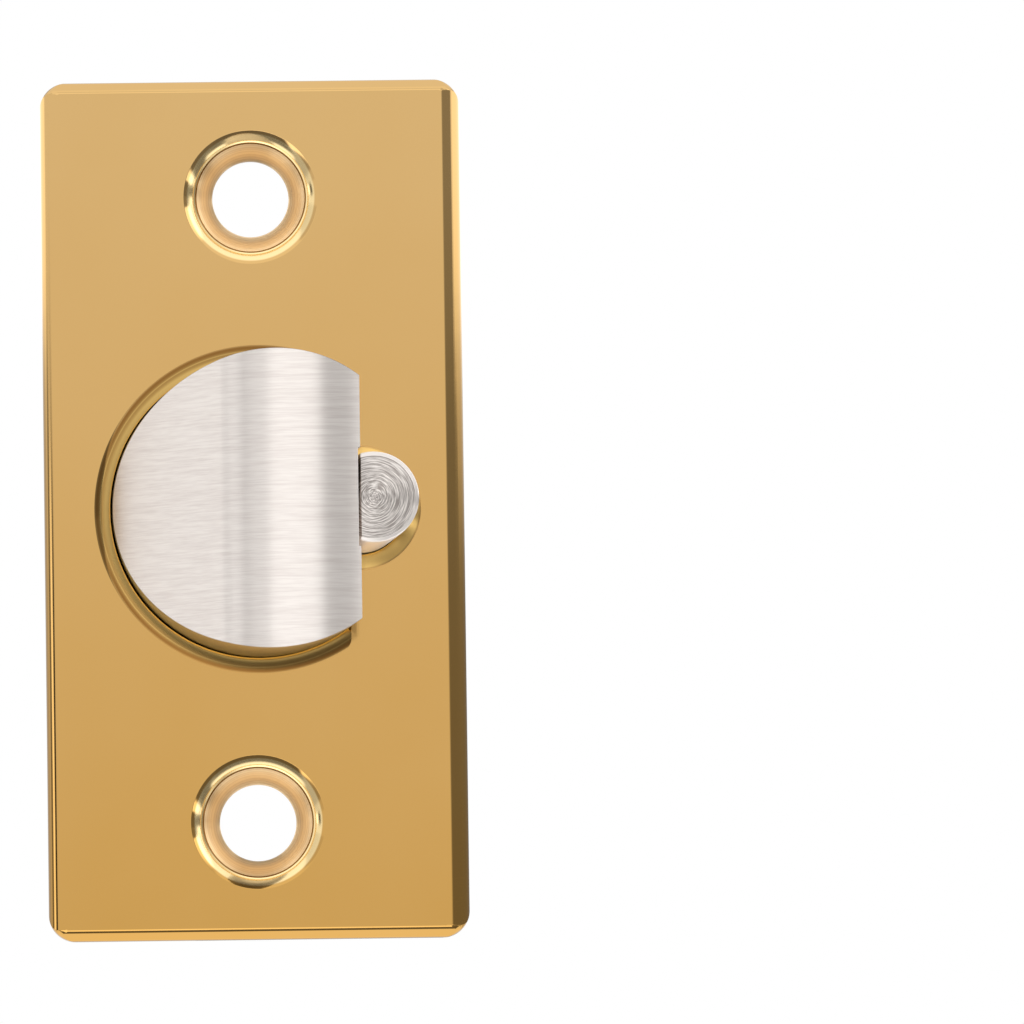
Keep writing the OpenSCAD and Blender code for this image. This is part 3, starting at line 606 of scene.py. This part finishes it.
class LATCH_OT_bolt(bpy.types.Operator):
    """Model the stainless latchbolt with its sloping working face and rounded tip"""

    bl_idname = "latch.bolt"
    bl_label = "Latchbolt"

    def execute(self, context):
        radius = context.scene.latch_sizes.bolt / MM
        throw, tail, flat = 12.7, 14.0, 5.75
        bolt = add_rod("stainless_bolt", (0, (tail - throw) / 2, 0), radius, tail + throw, ALONG_Y, 256)
        combine(bolt, add_prism("nose", self.nose_outline(radius, throw), -15, 15), "INTERSECT")
        slice_off(bolt, (flat, 0, 0), (1, 0, 0))
        chamfer_all(bolt, 0.08, 33)
        # The plunger's channel, the pocket for the lever's nose, and the tail bar's slot and pin hole.
        channel_x, channel_half = 5.6, 3.25
        pocket_x, pocket_front, pocket_back, pocket_half = 3.7, 0.5, 11, 1.85
        slot_front, slot_half_x, slot_half_z = 6.5, 1, 2.6
        pin_r, pin_y, pin_l = 1.25, 10, 20
        outside, beyond = 12, 30
        combine(bolt, add_block("channel", (channel_x, -20, -channel_half), (outside, beyond, channel_half)),
                "DIFFERENCE")
        combine(bolt, add_block("pocket", (pocket_x, pocket_front, -pocket_half),
                                (outside, pocket_back, pocket_half)), "DIFFERENCE")
        combine(bolt, add_block("slot", (-slot_half_x, slot_front, -slot_half_z),
                                (slot_half_x, beyond, slot_half_z)), "DIFFERENCE")
        combine(bolt, add_rod("pin_hole", (-6, pin_y, 0), pin_r, pin_l, ALONG_X, 64), "DIFFERENCE")
        smooth(bolt, 30)
        into_barrel(bolt)
        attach(bolt, "bolt")
        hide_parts("latchbolt")
        return {"FINISHED"}

    def nose_outline(self, radius, throw):
        """The working face seen along Z: a slope that runs into the tip's arc, which ends past the tip."""
        tip_x, slope, past_tip, steps = 3.1, math.radians(55), 1.0, 60
        # The tip's radius lets the sloping face reach the faceplate's plane at the side of the bolt.
        tip_r = ((radius + tip_x) * math.tan(slope) - throw) / (1 / math.cos(slope) - 1)
        tip_y = tip_r - throw
        angles = [slope - i / steps * (slope + past_tip) for i in range(steps + 1)]
        arc = [(tip_x - tip_r * math.sin(a), tip_y - tip_r * math.cos(a)) for a in angles]
        left, top = arc[0]
        reach, side, back = 30, 20, 40
        return [(left - reach, top + reach * math.tan(slope))] + arc + [(side, 10), (side, back)]


class LATCH_OT_plunger(bpy.types.Operator):
    """Model the turned guard plunger with its flat, bevelled tip and tongue"""

    bl_idname = "latch.plunger"
    bl_label = "Guard plunger"

    def execute(self, context):
        front, back, radius = -PLUNGER_OUT, 15.4, 3.0
        flat, flat_tilt = 5.7, math.radians(2)
        profile = [(0, front), (PLUNGER_LAND_R, front), (2.75, front + 0.03), (2.92, front + 0.05),
                   (2.98, front + 0.12), (radius, front + 0.3), (radius, back), (0, back)]
        plunger = add_turned("turned_plunger", (PLUNGER_X, 0, 0), profile, 160)
        slice_off(plunger, (flat, 0, 0), (-math.cos(flat_tilt), 0, math.sin(flat_tilt)))
        slice_off(plunger, (flat + 0.12, front, 0), (-0.8, -0.6, 0))
        # The tongue behind the guide, and the step on it that seats the slide.
        tongue_x, tongue_front, seat_x, seat_front = 8.2, 2, 9.2, 12.65
        combine(plunger, add_block("tongue", (0, tongue_front, -5), (tongue_x, 30, 5)), "DIFFERENCE")
        combine(plunger, add_block("seat", (seat_x, seat_front, -5), (12, 30, 5)), "DIFFERENCE")
        smooth(plunger, 30)
        into_barrel(plunger)
        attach(plunger, "plunger")
        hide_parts("guard_plunger")
        return {"FINISHED"}


class LATCH_OT_springs(bpy.types.Operator):
    """Wind the two coil springs"""

    bl_idname = "latch.springs"
    bl_label = "Springs"

    def execute(self, context):
        self.wind("bolt_coil", "bolt_spring", "bolt_throw", x=0, z=0, radius=3.3, wire=0.8,
                  front=14.05, back=45.35, turns=12, keep=0.595)
        self.wind("plunger_coil", "plunger_spring", "plunger_throw", x=7.65, z=-4.85, radius=1.45, wire=0.5,
                  front=15.55, back=45.95, turns=18, keep=0.625)
        return {"FINISHED"}

    def wind(self, name, node, joint, x, z, radius, wire, front, back, turns, keep):
        """Winds a closed end turn, the open turns and a closed end turn. The joint it is given is not used.
        """
        closed = 1.02 * wire
        opened = (back - front - wire - 2 * closed) / (turns - 2)
        parts = []
        start = front + wire / 2
        for pitch, count in ((closed, 1), (opened, turns - 2), (closed, 1)):
            parts.append(self.add_turns(x, start, z, radius, wire, pitch, count))
            start += pitch * count
        coil = self.join_turns(name, parts)
        smooth(coil, 50)
        into_barrel(coil)
        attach(coil, "housing")
        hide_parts(node)
        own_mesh(coil)

    def add_turns(self, x, y, z, radius, wire, pitch, count):
        """Sweeps a ring of wire round and along the coil's axis."""
        deselect()
        bpy.ops.mesh.primitive_circle_add(vertices=16, radius=wire / 2 * MM, fill_type="NOTHING",
                                          location=((x + radius) * MM, y * MM, z * MM))
        part = name_and_settle("turns")
        axle = bpy.data.objects.new("axle", None)
        axle.location = (x * MM, 0, z * MM)
        bpy.context.scene.collection.objects.link(axle)
        bpy.context.view_layer.update()
        helix = part.modifiers.new("helix", "SCREW")
        helix.object = axle
        helix.axis = "Y"
        helix.steps = helix.render_steps = 56
        helix.iterations = count
        helix.screw_offset = pitch * MM
        helix.use_merge_vertices = False
        bpy.ops.object.modifier_apply(modifier=helix.name)
        bpy.data.objects.remove(axle)
        return part

    def join_turns(self, name, parts):
        """Joins the stretches of wire end to end and closes the wire's two ends."""
        coil = parts[0]
        select_only(coil)
        for part in parts:
            part.select_set(True)
        bpy.ops.object.join()
        coil.name = name
        bpy.ops.object.mode_set(mode="EDIT")
        bpy.ops.mesh.select_mode(type="VERT")
        bpy.ops.mesh.select_all(action="SELECT")
        bpy.ops.mesh.remove_doubles(threshold=0.002 * MM)
        bpy.ops.mesh.select_all(action="DESELECT")
        bpy.ops.mesh.select_non_manifold()
        bpy.ops.mesh.edge_face_add()
        bpy.ops.mesh.select_all(action="SELECT")
        bpy.ops.mesh.normals_make_consistent(inside=False)
        bpy.ops.object.mode_set(mode="OBJECT")
        return coil


class LATCH_OT_finishes(bpy.types.Operator):
    """Give every piece its finish"""

    bl_idname = "latch.finishes"
    bl_label = "Finishes"

    def execute(self, context):
        colours = context.scene.latch_colours
        pieces_by_finish = (
            (lacquered_brass(colours.brass, colours.cone), ("faceplate", "brass_face")),
            (brushed_stainless(colours.stainless), ("latchbolt", "stainless_bolt")),
            (turned_stainless(colours.stainless), ("guard_plunger", "turned_plunger")),
            (zinc_plate(colours.zinc), ("mounting_plate", "barrel", "tail_bar", "spring_washer",
                                        "prong_plate", "plunger_slide", "dog_carrier")),
            (die_cast_zinc(colours.casting), ("bolt_guide", "rear_guide")),
            (spring_steel(colours.spring), ("tail_pin", "bolt_spring", "guide_pins", "prong_rivets",
                                            "slide_rivets", "plunger_spring", "dog_pin", "dog_spring",
                                            "bolt_coil", "plunger_coil")),
            (hardened_steel(colours.hardened), ("dog",)),
        )
        for material, names in pieces_by_finish:
            for name in names:
                dress(NODES[name] if name in NODES else bpy.data.objects[name], material)
        return {"FINISHED"}


# The light tent that the metal mirrors, as (angle in degrees, brightness) stops.
# Overhead and underneath: the brightness against the angle from the front.
TENT_SIDES = (
    ((0, 0, 1), ((0, 1.0), (40, 0.8), (47, 1.2), (82, 1.2), (86, 1.1), (120, 1.1), (150, 0.8), (180, 0.8))),
    ((0, 0, -1), ((0, 1.0), (8, 1.0), (16, 0.5), (34, 0.2), (68, 0.2), (76, 1.35), (128, 1.35),
                  (136, 0.45), (180, 0.5))),
)
# Rows of cloth and card: the elevations where each begins and ends, its soft edge, and its brightness
# against the azimuth, where negative is left. The first two light the bolt, the plunger and the screw
# holes, the others the plate's edges. A later row lies over the ones before it.
TENT_ROWS = (
    (-36, -12, 4, ((-180, 1.1), (-102, 1.1), (-99, 0.5), (-47, 0.5), (-43, 2.0), (5, 1.8), (14, 0.25),
                   (80, 0.2), (88, 0.3), (92, 1.5), (98, 1.5), (103, 0.5), (150, 1.0), (180, 1.1))),
    (-14, 38, 4, ((-180, 0.75), (-150, 0.6), (-125, 1.1), (-102, 1.1), (-99, 0.78), (-70, 0.78),
                  (-47, 0.86), (-43, 1.15), (5, 1.3), (13, 0.85), (44, 0.9), (52, 2.0), (72, 2.0), (79, 0.7),
                  (83, 1.6), (98, 1.6), (103, 0.5), (130, 0.7), (150, 1.15), (180, 0.75))),
    (-6, 12, 3, ((-180, 0.6), (-122, 0.6), (-118, 0.85), (-106, 0.85), (-102, 0.25), (-93, 0.25),
                 (-89, 0.8), (-72, 0.6), (-64, 0.9), (-60, 1.0), (5, 1.0), (13, 0.25), (84, 0.25),
                 (88, 0.7), (180, 0.7))),
    (-6, 3.6, 1.2, ((-180, 0.6), (-122, 0.6), (-118, 0.8), (-106, 0.75), (-102, 0.25), (-92, 0.25),
                    (-87, 1.75), (-78, 1.75), (-72, 0.03), (-65, 0.03), (-61, 1.0), (5, 1.0),
                    (13, 0.25), (180, 0.25))),
    (4.7, 12, 1.0, ((-180, 1.6), (-104, 1.6), (-92, 1.0), (5, 1.0), (13, 0.35), (62, 0.35), (70, 1.2),
                    (78, 1.6), (180, 1.6))),
)
# A ramp holds brightness up to 1, so it is filled as a share of this and scaled after.
TENT_PEAK = 2.5

# The camera comes from a fit to the photograph's outlines: the eye's angles as seen from the plate's
# middle in degrees, its distance and its aim in metres, and its focal length in pixels.
EYE_AZIMUTH = -0.41
EYE_ELEVATION = -3.56
EYE_ROLL = -0.79
EYE_DISTANCE = 0.8464
EYE_AIM = Vector((0.01715, 0.0, -0.00041))
FOCAL_PIXELS = 12709
FRAME_PIXELS = 1024


class LATCH_OT_stage(bpy.types.Operator):
    """Set up the pale studio, its light and the camera"""

    bl_idname = "latch.stage"
    bl_label = "Stage"

    def execute(self, context):
        scene = context.scene
        scene.view_settings.view_transform = "Standard"
        self.make_world(scene)
        self.make_tent()
        self.make_floor()
        self.make_camera(scene)
        return {"FINISHED"}

    def make_world(self, scene):
        """An even white light from all round, which is also the background."""
        world = bpy.data.worlds.new("studio")
        scene.world = world
        world.use_nodes = True
        world.cycles.sampling_method = "NONE"
        light = world.node_tree.nodes["Background"]
        light.inputs["Color"].default_value = (1.0, 1.0, 1.0, 1.0)
        light.inputs["Strength"].default_value = 1.0

    def make_tent(self):
        """The photographer's light tent that only reflections see: white cloth with dark cards and slits."""
        deselect()
        bpy.ops.mesh.primitive_ico_sphere_add(subdivisions=5, radius=1.9)
        tent = bpy.context.object
        tent.name = "light_tent"
        tent.visible_camera = False
        tent.visible_diffuse = False
        material, tree, place = new_material("tent_cloth")
        material.cycles.emission_sampling = "NONE"
        way = add(tree, "ShaderNodeVectorMath", {0: place}, operation="NORMALIZE")
        x, y, z = add(tree, "ShaderNodeSeparateXYZ", {"Vector": way}).node.outputs
        forward = add(tree, "ShaderNodeMath", {0: y, 1: -1.0}, operation="MULTIPLY")
        spread = add(tree, "ShaderNodeMath", {0: forward}, operation="ARCCOSINE")
        spread = add(tree, "ShaderNodeMath", {0: spread, 1: math.pi}, operation="DIVIDE")
        clock = add(tree, "ShaderNodeCombineXYZ", {"X": x, "Z": z})
        clock = add(tree, "ShaderNodeVectorMath", {0: clock}, operation="NORMALIZE")
        azimuth = add(tree, "ShaderNodeMath", {0: x, 1: forward}, operation="ARCTAN2")
        azimuth = add(tree, "ShaderNodeMath", {0: azimuth, 1: 1 / math.tau, 2: 0.5},
                      operation="MULTIPLY_ADD")
        elevation = add(tree, "ShaderNodeMath", {0: z}, operation="ARCSINE")
        level = (1.0, 1.0, 1.0, 1.0)
        for towards, stops in TENT_SIDES:
            facing = add(tree, "ShaderNodeVectorMath", {0: clock, 1: towards}, out="Value",
                         operation="DOT_PRODUCT")
            mask = self.add_step(tree, facing, 0.5, 0.75)
            level = self.add_layer(tree, level, mask, spread, [(angle / 180, v) for angle, v in stops])
        for low, high, soft, stops in TENT_ROWS:
            begin = self.add_step(tree, elevation, math.radians(low - soft / 2), math.radians(low + soft / 2))
            end = self.add_step(tree, elevation, math.radians(high + soft / 2), math.radians(high - soft / 2))
            mask = add(tree, "ShaderNodeMath", {0: begin, 1: end}, operation="MULTIPLY")
            level = self.add_layer(tree, level, mask, azimuth, [(angle / 360 + 0.5, v) for angle, v in stops])
        glow = add(tree, "ShaderNodeEmission", {"Color": level, "Strength": 1.0})
        add(tree, "ShaderNodeOutputMaterial", {"Surface": glow})
        dress(tent, material)

    def add_step(self, tree, value, low, high):
        """Rises softly from 0 to 1 between two values, or falls when the first is the greater."""
        return add(tree, "ShaderNodeMapRange", {"Value": value, "From Min": min(low, high),
                                                "From Max": max(low, high), "To Min": float(low > high),
                                                "To Max": float(low < high)},
                   interpolation_type="SMOOTHSTEP")

    def add_layer(self, tree, level, mask, along, stops):
        """Lays a brightness curve over the level where the mask is 1."""
        bright = add(tree, "ShaderNodeValToRGB", {"Fac": along}, stops=[(p, v / TENT_PEAK) for p, v in stops])
        bright = add(tree, "ShaderNodeVectorMath", {0: bright, "Scale": TENT_PEAK}, operation="SCALE")
        return add(tree, "ShaderNodeMix", {"Factor": mask, "A": level, "B": bright}, "Result",
                   data_type="RGBA")

    def make_floor(self):
        """A sheet of pale paper below the latch, left out of the metal's reflections."""
        deselect()
        bpy.ops.mesh.primitive_plane_add(size=4.0, location=(0.0, 0.0, -0.075))
        floor = name_and_settle("floor")
        floor.visible_glossy = False
        material = new_material("pale_paper")[0]
        dress(floor, surface(material, {"Base Color": linear("#f7f6f5"), "Roughness": 0.9}))

    def make_camera(self, scene):
        azimuth, elevation, roll = (math.radians(a) for a in (EYE_AZIMUTH, EYE_ELEVATION, EYE_ROLL))
        eye = Vector((math.sin(azimuth) * math.cos(elevation), -math.cos(azimuth) * math.cos(elevation),
                      math.sin(elevation))) * EYE_DISTANCE
        ahead = (EYE_AIM - eye).normalized()
        right = ahead.cross(Vector((0.0, 0.0, 1.0))).normalized()
        up = right.cross(ahead)
        side = math.cos(roll) * right + math.sin(roll) * up
        top = -math.sin(roll) * right + math.cos(roll) * up
        data = bpy.data.cameras.new("camera")
        data.sensor_fit = "HORIZONTAL"
        data.sensor_width = 36.0
        data.lens = FOCAL_PIXELS / FRAME_PIXELS * data.sensor_width
        data.clip_start = 0.01
        camera = bpy.data.objects.new("camera", data)
        turn = Matrix((side, top, -ahead)).transposed().to_4x4()
        camera.matrix_world = Matrix.Translation(eye) @ turn
        scene.collection.objects.link(camera)
        scene.camera = camera


class LATCH_PT_panel(bpy.types.Panel):
    """The latch's sizes, colours and steps in the sidebar"""

    bl_label = "Latch"
    bl_idname = "LATCH_PT_panel"
    bl_space_type = "VIEW_3D"
    bl_region_type = "UI"
    bl_category = "Latch"

    def draw(self, context):
        for group in (context.scene.latch_sizes, context.scene.latch_colours):
            for name in group.__annotations__:
                self.layout.prop(group, name)
        for step in STEPS:
            self.layout.operator(step.bl_idname)


STEPS = (LATCH_OT_stage, LATCH_OT_faceplate, LATCH_OT_bolt, LATCH_OT_plunger, LATCH_OT_springs,
         LATCH_OT_finishes)
CLASSES = (LatchColours, LatchSizes) + STEPS + (LATCH_PT_panel,)


def register():
    for each in CLASSES:
        bpy.utils.register_class(each)
    bpy.types.Scene.latch_colours = bpy.props.PointerProperty(type=LatchColours)
    bpy.types.Scene.latch_sizes = bpy.props.PointerProperty(type=LatchSizes)


def unregister():
    del bpy.types.Scene.latch_sizes
    del bpy.types.Scene.latch_colours
    for each in reversed(CLASSES):
        bpy.utils.unregister_class(each)


def main():
    register()
    bpy.ops.latch.stage()
    bpy.ops.latch.faceplate()
    bpy.ops.latch.bolt()
    bpy.ops.latch.plunger()
    bpy.ops.latch.springs()
    bpy.ops.latch.finishes()
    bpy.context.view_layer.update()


if __name__ == "__main__":
    main()
